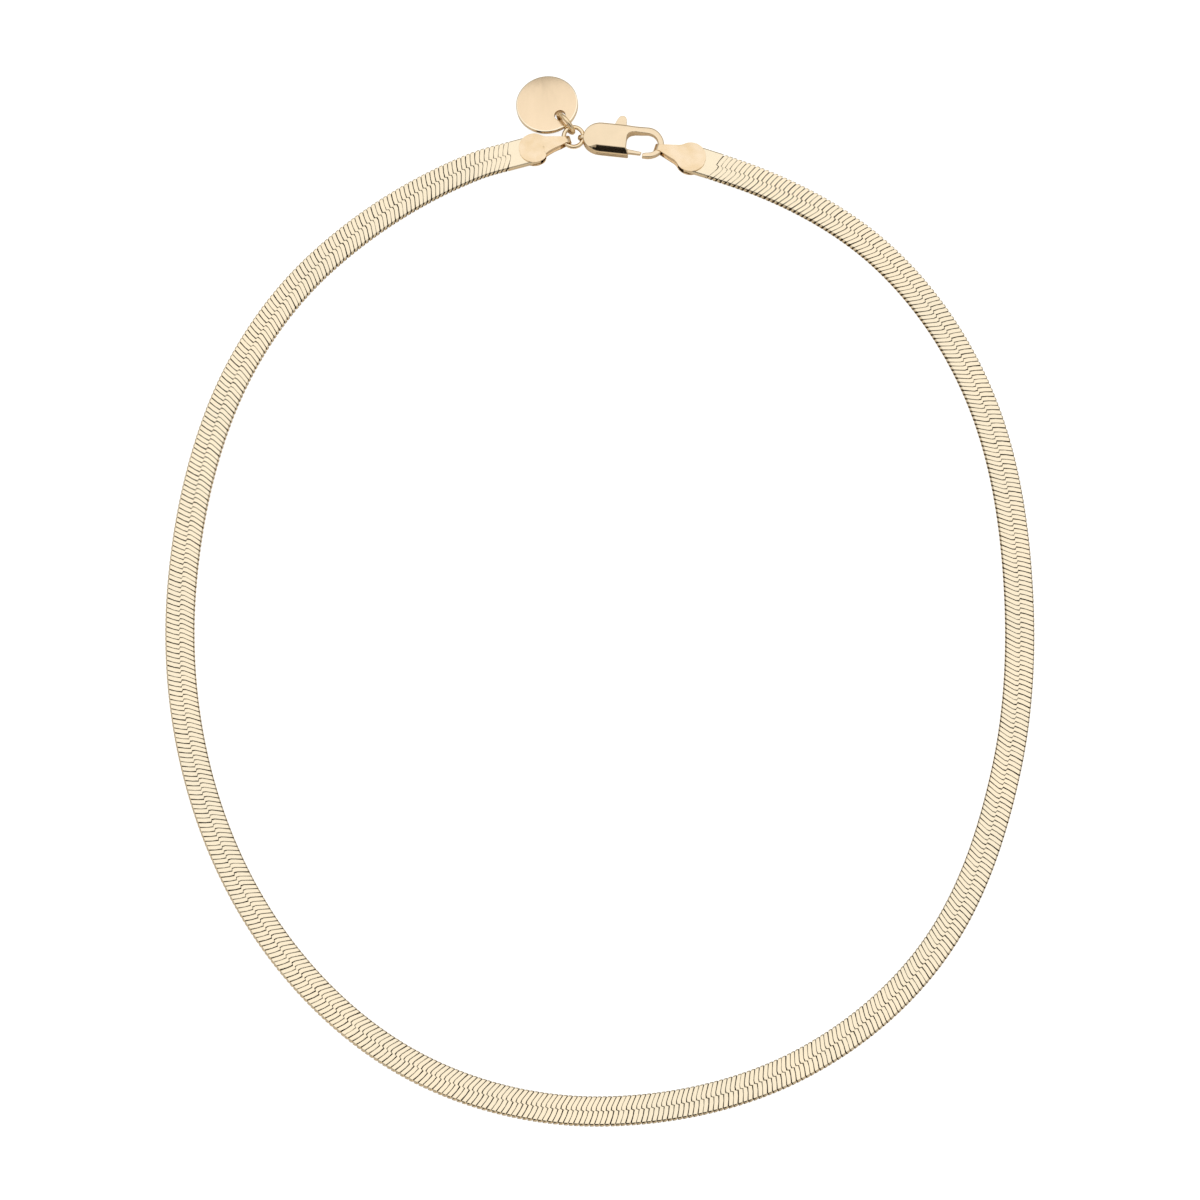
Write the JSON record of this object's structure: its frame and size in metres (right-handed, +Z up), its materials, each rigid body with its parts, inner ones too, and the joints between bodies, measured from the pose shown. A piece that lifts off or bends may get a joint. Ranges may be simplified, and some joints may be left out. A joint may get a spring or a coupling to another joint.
{
  "type": "herringbone chain",
  "caption": "Flat herringbone neck chain, fastened in a lying loop: two folded end caps, a lever clasp, a jump ring and a small round bare tag on its own ring.",
  "frame": {"origin": "on the table under the middle of the whole piece's box", "axes": "+X to the right as the loop is seen from its bottom, +Y to the clasp, +Z up off the table"},
  "size_m": [0.1186, 0.15, 0.0038],
  "materials": {
    "band_gold": "polished pale gold links with fine slits between them",
    "cap_gold": "polished pale gold sheet",
    "ring_gold": "polished gold wire",
    "tag_gold": "flat polished gold plate",
    "clasp_gold": "polished cast gold"
  },
  "bodies": {
    "necklace": {"band": "band_gold", "end_cap_left": "cap_gold", "end_cap_right": "cap_gold", "jump_ring": "ring_gold", "tag_ring": "ring_gold", "tag_disc": "tag_gold", "clasp_body": "clasp_gold", "clasp_pin": "clasp_gold"},
    "lever": {"clasp_lever": "clasp_gold"}
  },
  "joints": [
    {"name": "lever_hinge", "type": "hinge", "parent": "necklace", "child": "lever", "pos_m": [0.00267, 0.06361, 0.001], "axis": [0, 0, 1], "range_deg": [0, 25], "stiffness_Nm_per_rad": 0.002, "springref_deg": -20.05}
  ]
}
